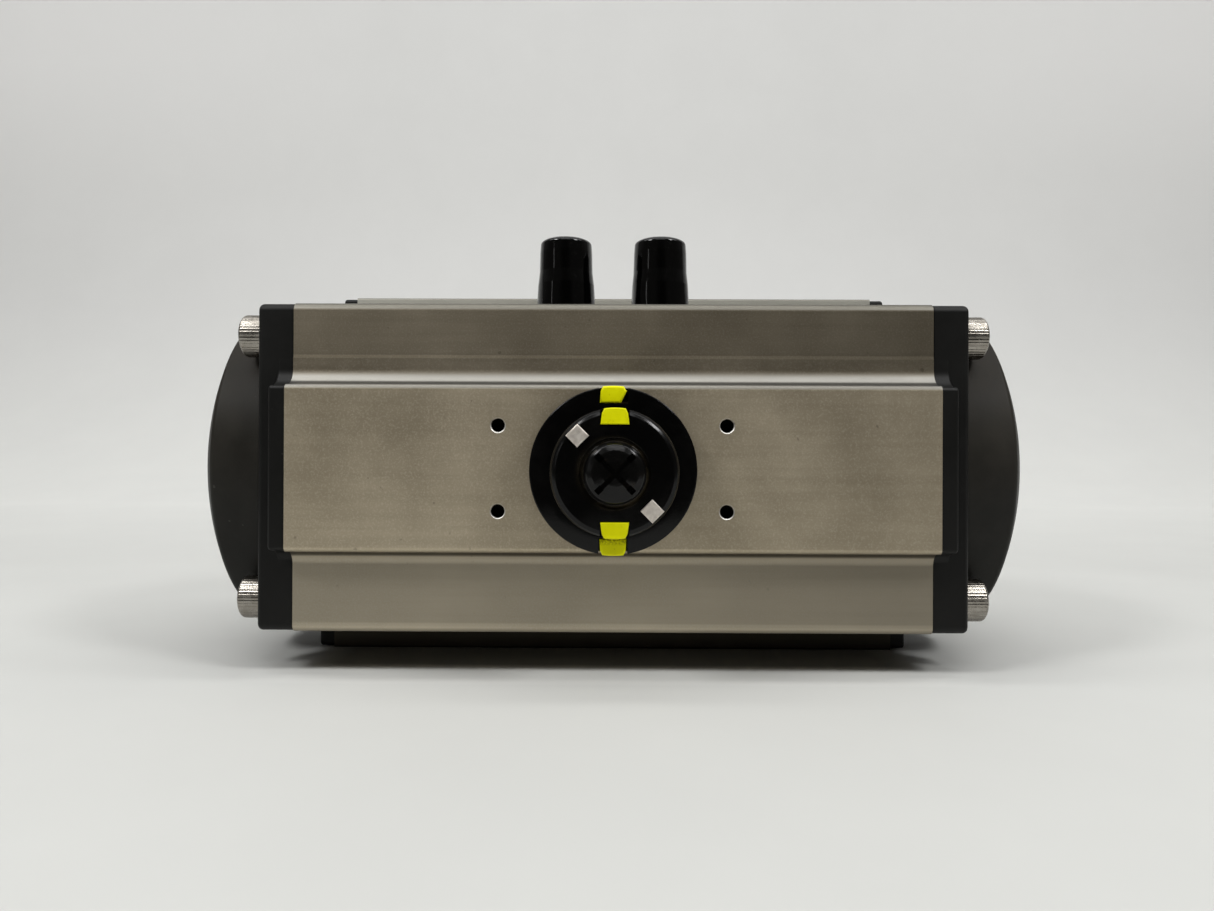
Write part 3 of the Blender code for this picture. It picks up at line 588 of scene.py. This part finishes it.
def edge_levels(outline, lo, hi, radius, steps=5):
    """Levels of a plate whose far edge is rounded over."""
    way = 1.0 if hi > lo else -1.0
    levels = [(lo, outline)]
    for k in range(steps + 1):
        turn = math.pi / 2.0 * k / steps
        a = hi - way * radius * (1.0 - math.sin(turn))
        levels.append((a, inset(outline, radius * (1.0 - math.cos(turn))) if k else outline))
    return levels


def circle(radius, segments, centre=(0.0, 0.0), phase=0.0):
    points = []
    for i in range(segments):
        turn = phase + 2.0 * math.pi * i / segments
        points.append((centre[0] + radius * math.cos(turn), centre[1] + radius * math.sin(turn)))
    return points


def rod(name, axis, radius, lo, hi, segments=32, centre=(0.0, 0.0)):
    profile = [(0.0, lo), (radius, lo), (radius, hi), (0.0, hi)]
    return lathe(name, axis, profile, segments, centre)


def box_outline(u0, u1, v0, v1):
    return [(u0, v0), (u1, v0), (u1, v1), (u0, v1)]


def turned(points, turn):
    c, s = math.cos(turn), math.sin(turn)
    return [(u * c - v * s, u * s + v * c) for u, v in points]


def four(first, second):
    """The corners of a rectangle round the middle."""
    return [(first, second), (-first, second), (-first, -second), (first, -second)]


def combine(target, others, operation="DIFFERENCE"):
    """Applies Booleans with each of the other solids, then removes them."""
    for other in others:
        mod = target.modifiers.new("part", "BOOLEAN")
        mod.operation = operation
        mod.solver = "EXACT"
        mod.object = other
        bpy.context.view_layer.update()
        made = bpy.data.meshes.new_from_object(
            target.evaluated_get(bpy.context.evaluated_depsgraph_get()))
        target.modifiers.clear()
        old = target.data
        target.data = made
        bpy.data.meshes.remove(old)
        bpy.data.objects.remove(other)


def merged(objects, name):
    """One mesh object from several, which are removed."""
    work = bmesh.new()
    for obj in objects:
        work.from_mesh(obj.data)
        bpy.data.objects.remove(obj)
    mesh = bpy.data.meshes.new(name)
    work.to_mesh(mesh)
    work.free()
    obj = bpy.data.objects.new(name, mesh)
    bpy.context.scene.collection.objects.link(obj)
    return obj


def finish_piece(obj, body, slot, nodes, sharp, mat=None):
    """Gives a piece its material and shading, and puts it in its CAD node's place.

    Edges sharper than the angle sharp, in degrees, stay sharp.
    """
    obj.data.materials.clear()
    obj.data.materials.append(mat or MATS[slot])
    obj.data.shade_smooth()
    obj.data.set_sharp_from_angle(angle=math.radians(sharp))
    weighted = obj.modifiers.new("normals", "WEIGHTED_NORMAL")
    weighted.keep_sharp = True
    weighted.weight = 100
    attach(obj, body)
    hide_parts(*nodes)


# ---------------------------------------------------------------- body

def body_section(pad_round):
    """Outline of the extrusion in (y, w), seen along the pistons."""
    side, seat, wall, strip = SHOULDER_Y, SEAT_W, WALL_W, STRIP_W
    return [
        (-FACE_Y, -29.8, 2.0), (-FACE_Y, 29.4, 2.0),
        (-70.25, 29.4, 6.0), (-70.25, 39.2, 0.0), (-side, 39.7, 0.0), (-side, 59.0, 3.0),
        (-54.0, seat, 2.0), (-26.0, seat, 2.0), (-12.0, wall, 3.0),
        (5.5, wall, 2.0), (5.5, strip, pad_round),
        (48.0, strip, pad_round), (48.0, seat, 2.5), (54.0, seat, 2.0),
        (side, 59.0, 3.0), (side, 46.0, 4.0),
        (FACE_Y, 46.0, pad_round), (FACE_Y, -46.0, pad_round),
        (side, -46.0, 4.0), (side, -59.0, 3.0),
        (54.0, -seat, 2.0), (31.0, -seat, 2.0), (24.0, -65.5, 2.0),
        (24.0, -strip, pad_round), (-24.0, -strip, pad_round),
        (-24.0, -65.5, 2.0), (-31.0, -seat, 2.0), (-54.0, -seat, 2.0),
        (-side, -59.0, 2.6), (-side, -29.8, 5.0),
    ]


def hole(axis, radius, mouth, end, centre, segments=28, rim=0.45):
    """Cutter for a drilled hole with a countersunk rim."""
    way = 1.0 if end > mouth else -1.0
    profile = [
        (0.0, mouth - way), (radius + rim + 1.0, mouth - way), (radius, mouth + way * rim),
        (radius, end), (0.0, end + way * radius * 0.5),
    ]
    return lathe("hole", axis, profile, segments, centre)


def make_body():
    outline = rounded(body_section(0.8))
    body = prism("body_shell", "X", outline, -BODY_HALF, BODY_HALF)
    holes = []
    for x, w in four(*ACCESSORY_HOLE):
        holes.append(hole("Y", 2.3, -FACE_Y, -FACE_Y + 9.0, (x, w)))
    for spacing, radius in VALVE_HOLES:
        for x, w in four(spacing, spacing):
            holes.append(hole("Y", radius, FACE_Y, FACE_Y - 11.0, (x, w)))
    for x, y in four(*PAD_HOLE):
        holes.append(hole("Z", 2.1, -STRIP_W, -67.6, (x, y)))
    for x, deep in ((-12.0, -58.0), (12.0, -67.0)):
        holes.append(hole("Z", 5.9, -STRIP_W, deep, (x, 0.0), 40, 0.8))
    top = [(0.0, -FACE_Y - 2.0), (17.2, -FACE_Y - 2.0), (17.2, -67.5), (14.6, -67.5),
           (14.6, -50.0), (0.0, -50.0)]
    holes.append(lathe("hole", "Y", top, 64))
    bottom = [(0.0, FACE_Y + 2.0), (28.6, FACE_Y + 2.0), (28.0, FACE_Y - 0.5), (28.0, 66.4),
              (25.3, 66.4), (25.3, 40.0), (0.0, 40.0)]
    holes.append(lathe("hole", "Y", bottom, 64))
    for x in (-STOP_X, STOP_X):
        seat = [(0.0, SEAT_W + 2.0), (8.0, SEAT_W + 2.0), (8.0, SEAT_W - 1.6),
                (5.2, SEAT_W - 1.6), (5.2, 40.0), (0.0, 40.0)]
        holes.append(lathe("hole", "Z", seat, 32, (x, STOP_Y)))
    combine(body, [rod("bore", "X", 62.5, -130.0, 130.0, 128), merged(holes, "holes")])
    finish_piece(body, "housing", "anodised_body", ["body"], sharp=30.0)


# ---------------------------------------------------------------- end caps

def core_section():
    """Outline of the flange behind the lip."""
    side, seat, wall = SHOULDER_Y, SEAT_W, WALL_W
    return [
        (-side, -59.0, 3.0), (-side, 59.0, 3.0), (-54.0, seat, 3.0), (-26.0, seat, 3.0),
        (-12.0, wall, 4.0), (12.0, wall, 4.0), (26.0, seat, 3.0), (54.0, seat, 3.0),
        (side, 59.0, 3.0), (side, -59.0, 3.0), (54.0, -seat, 3.0), (26.0, -seat, 3.0),
        (12.0, -wall, 4.0), (-12.0, -wall, 4.0), (-26.0, -seat, 3.0), (-54.0, -seat, 3.0),
    ]


def dome_profile(radius, side_radius, lo, side, blend, rings=22):
    """Half profile of a short cylinder under a shallow dome."""
    edge = math.asin(side_radius / radius)
    corner = (side_radius, DOME_X + radius * math.cos(edge), blend)
    points = [(side_radius, lo, 0.0), corner]
    first = edge - math.radians(3.0)
    for k in range(rings):
        turn = first * (1.0 - k / rings)
        points.append((radius * math.sin(turn), DOME_X + radius * math.cos(turn), 0.0))
    profile = arc_profile(points, 6.0)
    profile = [(0.0, lo)] + profile + [(0.0, DOME_X + radius)]
    return [(r, side * a) for r, a in profile]


def make_cap(name, side):
    start = CAP_START
    lip = inset(rounded(body_section(2.0)), 0.45)
    core = inset(rounded(core_section()), 0.3)
    lip_levels = edge_levels(lip, start, LIP_X, 1.2)
    core_levels = edge_levels(core, start + 0.3, FLANGE_X, 1.8)
    cap = stack(name + "_shell", "X", [(side * a, o) for a, o in lip_levels])
    flange = stack("flange", "X", [(side * a, o) for a, o in core_levels])
    dome = lathe("dome", "X", dome_profile(DOME_R, DOME_SIDE_R, start + 3.0, side, 2.5), 144)
    bosses = []
    for y, w in four(SCREW_Y, SCREW_W):
        profile = [(0.0, side * (start + 4.0)), (8.4, side * (start + 4.0)),
                   (8.4, side * (BOSS_X - 0.1)), (8.3, side * BOSS_X), (0.0, side * BOSS_X)]
        bosses.append(lathe("boss", "X", profile, 40, (y, w)))
    combine(cap, [flange, dome, merged(bosses, "bosses")], "UNION")
    inner = dome_profile(HOLLOW_R, HOLLOW_SIDE_R, start - 3.0, side, 2.0, 8)
    hollow = lathe("hollow", "X", inner, 72)
    holes = []
    for y, w in four(SCREW_Y, SCREW_W):
        holes.append(rod("hole", "X", 5.3, side * (start - 3.0), side * 140.0, 24, (y, w)))
    combine(cap, [hollow, merged(holes, "holes")])
    finish_piece(cap, "housing", "cap_paint", [name], sharp=28.0)


def knurl(turn, radius, a):
    """Straight knurling on the head's side only."""
    if radius < 7.6:
        return radius
    return radius - 0.16 * (0.5 + 0.5 * math.cos(turn * 44.0))


def make_cap_screw(name, side, y, w):
    seat = SCREW_SEAT_X
    tip = seat + 10.0
    points = [
        (0.0, 97.0), (4.2, 97.0), (5.0, 97.8), (5.0, seat), (7.3, seat), (7.9, seat + 0.5),
        (7.9, tip - 1.1), (7.62, tip - 0.45), (7.0, tip - 0.08), (6.2, tip), (5.2, tip), (0.0, tip),
    ]
    profile = [(r, side * a) for r, a in points]
    screw = lathe(name + "_fine", "X", profile, 176, (y, w), reach=knurl)
    hexagon = circle(8.0 / math.sqrt(3.0), 6, (y, w), 0.3 * (y + w))
    wide = circle(9.0 / math.sqrt(3.0), 6, (y, w), 0.3 * (y + w))
    socket = stack("socket", "X", [(side * (tip - 5.0), hexagon), (side * (tip - 0.4), hexagon),
                                   (side * (tip + 0.6), wide)])
    combine(screw, [socket])
    finish_piece(screw, "housing", "stainless_screw", [name], sharp=40.0)


# ---------------------------------------------------------------- stop screw caps

def make_stop_cap(name, x, phase):
    """Soft vinyl cap that shows the nut under it; phase shifts its small unevenness."""
    profile = arc_profile([
        (10.3, 61.7, 0.0), (11.0, 61.65, 0.3), (11.42, 62.1, 0.3), (11.25, 66.0, 1.0),
        (11.0, 71.5, 1.6), (10.45, 76.5, 1.6), (10.25, 84.0, 1.6), (9.95, 88.1, 1.6),
        (8.0, 89.15, 1.6), (0.0, 89.3, 0.0), (0.0, 87.4, 0.0), (6.8, 87.2, 0.0),
        (8.8, 85.2, 0.0), (9.95, 72.2, 0.0),
    ], 10.0)

    def swell(turn, radius, a):
        nut = math.exp(-((a - 67.5) / 4.0) ** 2) * 0.16 * math.cos(6.0 * turn + phase)
        return radius + nut + 0.05 * math.cos(2.0 * turn + phase + a * 0.12)

    cap = lathe(name + "_fine", "Z", profile, 96, (x, STOP_Y), reach=swell)
    finish_piece(cap, "housing", "vinyl_cap", [name], sharp=50.0)


# ---------------------------------------------------------------- indicator

def make_indicator():
    base = arc_profile([
        (24.0, -78.9, 0.0), (28.3, -78.9, 0.4), (28.55, -80.0, 0.4), (28.5, -87.9, 0.5),
        (24.6, -88.2, 2.0), (22.6, -88.3, 0.0), (14.5, -88.3, 0.0),
        (14.5, -85.2, 0.0), (24.0, -85.2, 0.0),
    ])
    ring = lathe("indicator_base_fine", "Y", base, 128)
    cuts = []
    for turn in (0.0, math.pi):
        pocket = turned(box_outline(-4.9, 4.9, 22.6, 30.6), turn)
        cuts.append(prism("pocket", "Y", pocket, -90.0, -81.0))
    for turn in (math.radians(97.0), math.radians(-98.0)):
        notch = turned(box_outline(-1.1, 1.1, 28.1, 30.0), turn)
        cuts.append(prism("notch", "Y", notch, -86.0, -78.0))
    combine(ring, [merged(cuts, "pockets")])
    lean(ring)
    finish_piece(ring, "pinion_shaft", "indicator_plastic", ["indicator_base"], sharp=35.0)

    disc = arc_profile([
        (14.5, -88.6, 0.0), (18.6, -88.6, 0.5), (19.2, -90.0, 0.5), (19.6, -96.8, 0.5),
        (20.6, -98.0, 0.4), (21.15, -99.2, 0.6), (20.95, -100.8, 0.8), (20.2, -102.0, 1.0),
        (19.1, -102.6, 0.8), (11.5, -102.8, 0.3), (11.1, -102.2, 0.3), (10.3, -102.2, 0.3),
        (10.1, -102.8, 0.0), (0.0, -102.8, 0.0), (0.0, -99.2, 0.0), (14.5, -99.2, 0.0),
    ])
    top = lathe("indicator_disc_fine", "Y", disc, 128)
    cuts = []
    for turn in (0.0, math.pi):
        pocket = turned(box_outline(-4.75, 4.75, 15.5, 24.1), turn)
        cuts.append(prism("pocket", "Y", pocket, -105.0, -100.0))
    for turn in (math.pi / 4.0, -3.0 * math.pi / 4.0):
        pocket = turned(box_outline(-2.85, 2.85, 14.2, 20.0), turn)
        cuts.append(prism("pocket", "Y", pocket, -105.0, -101.3))
    cuts.append(rod("pocket", "Y", 3.4, -106.0, -97.0, 32))
    combine(top, [merged(cuts, "pockets")])
    lean(top)
    finish_piece(top, "pinion_shaft", "indicator_plastic", ["indicator_disc"], sharp=35.0)


def marker_outline(half_in, half_out, inner, outer, turn, chamfer=0.0, steps=12):
    """Block between a chord and the rim arc, with small rounded rim corners."""
    points = [(-half_in, inner)]
    if chamfer:
        points += [(half_in - chamfer, inner), (half_in, inner + chamfer * 2.0)]
    else:
        points.append((half_in, inner))
    side = math.hypot(half_out, outer * math.cos(math.asin(half_out / outer)) - 1.3)
    low = math.asin(half_out / side)
    points.append((side * math.sin(low), side * math.cos(low)))
    edge = math.asin((half_out - 0.7) / outer)
    for k in range(steps + 1):
        a = edge * (1.0 - 2.0 * k / steps)
        points.append((outer * math.sin(a), outer * math.cos(a)))
    points.append((-side * math.sin(low), side * math.cos(low)))
    return turned(points, turn)


def dial_insert(name, outline, lo, hi, bevel, steps, slot, node):
    piece = stack(name + "_fine", "Y", edge_levels(outline, lo, hi, bevel, steps))
    lean(piece)
    finish_piece(piece, "pinion_shaft", slot, [node], sharp=40.0)


def make_markers():
    for where, turn, cut in (("top", 0.0, 2.1), ("bottom", math.pi, 0.0)):
        outline = marker_outline(4.6, 4.3, 22.9, 28.75, turn, cut)
        name = "outer_marker_" + where
        dial_insert(name, outline, -81.2, -88.5, 0.8, 5, "marker_yellow", name)
        outline = marker_outline(4.65, 4.15, 15.7, 21.1, turn)
        name = "inner_marker_" + where
        dial_insert(name, outline, -100.2, -103.4, 0.5, 5, "marker_yellow", name)
    targets = (("upper", math.pi / 4.0, 0.55), ("lower", -3.0 * math.pi / 4.0, 0.25))
    for where, turn, bevel in targets:
        outline = turned(box_outline(-2.7, 2.7, 14.4, 19.8), turn)
        dial_insert("target_" + where, outline, -101.6, -103.3, bevel, 3, "target_steel",
                    "target_insert_" + where)


def make_indicator_screw():
    points = [
        (0.0, -83.0, 0.0), (2.3, -83.0, 0.0), (2.3, -98.7, 0.0), (3.1, -98.7, 0.0),
        (3.1, -103.1, 0.0), (9.8, -103.1, 0.3), (10.1, -103.6, 0.3), (9.95, -104.5, 0.8),
        (9.2, -105.6, 1.4), (7.4, -106.5, 2.0), (4.0, -107.2, 3.0), (0.0, -107.5, 0.0),
    ]
    screw = lathe("indicator_screw_fine", "Y", arc_profile(points, 8.0), 96)
    arms = []
    for turn in (math.pi / 4.0, -math.pi / 4.0):
        arm = turned(box_outline(-0.75, 0.75, -8.2, 8.2), turn)
        arms.append(prism("slot", "Y", arm, -110.0, -105.9))
    pockets = []
    for k in range(4):
        turn = math.pi / 4.0 + k * math.pi / 2.0
        pocket = turned(box_outline(-1.0, 1.0, 5.9, 8.5), turn)
        pockets.append(prism("pocket", "Y", pocket, -110.0, -104.3))
    combine(screw, [*arms, merged(pockets, "pockets")])
    lean(screw)
    finish_piece(screw, "pinion_shaft", "indicator_plastic", ["indicator_screw"],
                 sharp=38.0, mat=SCREW_PLASTIC)


# ---------------------------------------------------------------- carried-over nodes

def dress_nodes():
    """Every CAD node gets its slot's material, for the ones that aren't replaced."""
    slots = {row["node"]: row["material_slot"] for row in frame["record"]["subparts"]}
    for name, obj in frame["nodes"].items():
        mat = MATS[slots[name]]
        if not obj.material_slots:
            obj.data.materials.append(mat)
        for entry in obj.material_slots:
            entry.material = mat


# ---------------------------------------------------------------- stage, light, camera

def make_floor():
    """Pale sweep: a floor that curves up into a backdrop far behind."""
    bend, radius, steps = 1.0, 0.8, 16
    line = [(-0.43, 0.0), (bend, 0.0)]
    for k in range(1, steps + 1):
        turn = math.pi / 2.0 * k / steps
        line.append((bend + radius * math.sin(turn), radius * (1.0 - math.cos(turn))))
    line.append((bend + radius, 3.6))
    verts = []
    faces = []
    for y, z in line:
        verts += [(-4.0, y, z), (4.0, y, z)]
    for k in range(len(line) - 1):
        faces.append((2 * k, 2 * k + 1, 2 * k + 3, 2 * k + 2))
    mesh = bpy.data.meshes.new("floor")
    mesh.from_pydata(verts, [], faces)
    mesh.shade_smooth()
    mesh.materials.append(floor_paint())
    obj = bpy.data.objects.new("floor", mesh)
    bpy.context.scene.collection.objects.link(obj)


def area_light(name, place_at, aim, size, power, size_y=None):
    data = bpy.data.lights.new(name, "AREA")
    data.energy = power
    data.size = size
    if size_y:
        data.shape = "RECTANGLE"
        data.size_y = size_y
    obj = bpy.data.objects.new(name, data)
    bpy.context.scene.collection.objects.link(obj)
    obj.location = place_at
    towards = Vector(aim) - Vector(place_at)
    obj.rotation_mode = "QUATERNION"
    obj.rotation_quaternion = towards.to_track_quat("-Z", "Y")


def make_world():
    """Tent-like sky: bright overhead and at the sides, a dark room in front."""
    world = bpy.data.worlds.new("studio")
    bpy.context.scene.world = world
    world.use_nodes = True
    tree = world.node_tree
    back = tree.nodes["Background"]
    where = tree.nodes.new("ShaderNodeTexCoord").outputs["Generated"]
    split = tree.nodes.new("ShaderNodeSeparateXYZ")
    tree.links.new(where, split.inputs["Vector"])

    def smooth(value, low, high):
        node = tree.nodes.new("ShaderNodeMapRange")
        node.interpolation_type = "SMOOTHSTEP"
        node.inputs["From Min"].default_value = low
        node.inputs["From Max"].default_value = high
        tree.links.new(value, node.inputs["Value"])
        return node.outputs["Result"]

    side = math_node(tree, "ABSOLUTE", split.outputs["X"], 0.0)
    side = math_node(tree, "MULTIPLY", side, 0.18)
    depth = math_node(tree, "MULTIPLY", split.outputs["Y"], 0.20)
    level = math_node(tree, "ADD", split.outputs["Z"], math_node(tree, "ADD", side, depth))
    room = mix_node(tree, smooth(split.outputs["Y"], -0.975, -0.84),
                    (0.014, 0.012, 0.010), (0.080, 0.077, 0.072))
    sky = mix_node(tree, smooth(level, 0.42, 0.86), room, (0.38, 0.38, 0.376))
    tree.links.new(sky, back.inputs["Color"])
    back.inputs["Strength"].default_value = 1.0


def make_lights():
    middle = (0.0, -0.02, 0.06)
    area_light("lamp_left", (-0.88, -0.74, 1.09), middle, 0.30, 7.5)
    area_light("lamp_right", (0.88, -0.74, 1.09), middle, 0.30, 7.5)
    area_light("strip_left", (-1.02, -0.80, 0.40), (0.0, -0.04, 0.15), 0.05, 0.17, size_y=0.45)
    area_light("front_top", (0.0, -0.85, 1.25), middle, 0.80, 2.5, size_y=0.30)
    area_light("backdrop_wash", (0.0, -0.2, 2.6), (0.0, 1.8, 0.5), 6.0, 60.0, size_y=0.5)


def make_camera():
    """A 25 mm lens on a 36 mm sensor, almost square to the indicator face."""
    yaw, pitch, roll = (math.radians(v) for v in (0.409, 0.117, -0.229))
    turn = Matrix.Rotation(yaw, 3, "Z") @ Matrix.Rotation(pitch, 3, "X")
    turn = turn @ Matrix.Rotation(roll, 3, "Y")
    right, ahead, up = turn.col[0], turn.col[1], turn.col[2]
    basis = Matrix((right, up, -ahead)).transposed()
    data = bpy.data.cameras.new("camera")
    data.lens = 24.97
    data.sensor_width = 36.0
    data.clip_start = 0.01
    data.clip_end = 50.0
    obj = bpy.data.objects.new("camera", data)
    bpy.context.scene.collection.objects.link(obj)
    obj.matrix_world = Matrix.Translation((0.00025, -0.37223, 0.07907)) @ basis.to_4x4()
    bpy.context.scene.camera = obj


dress_nodes()
make_body()
for side_name, side in (("left", -1.0), ("right", 1.0)):
    make_cap("end_cap_" + side_name, side)
    for number, (y, w) in enumerate(four(SCREW_Y, SCREW_W), 1):
        make_cap_screw(f"cap_screw_{side_name}_{number}", side, y, w)
make_stop_cap("stop_cap_closed", -STOP_X, 0.4)
make_stop_cap("stop_cap_open", STOP_X, 1.9)
make_indicator()
make_markers()
make_indicator_screw()
make_floor()
make_world()
make_lights()
make_camera()
bpy.context.scene.view_settings.view_transform = "Standard"
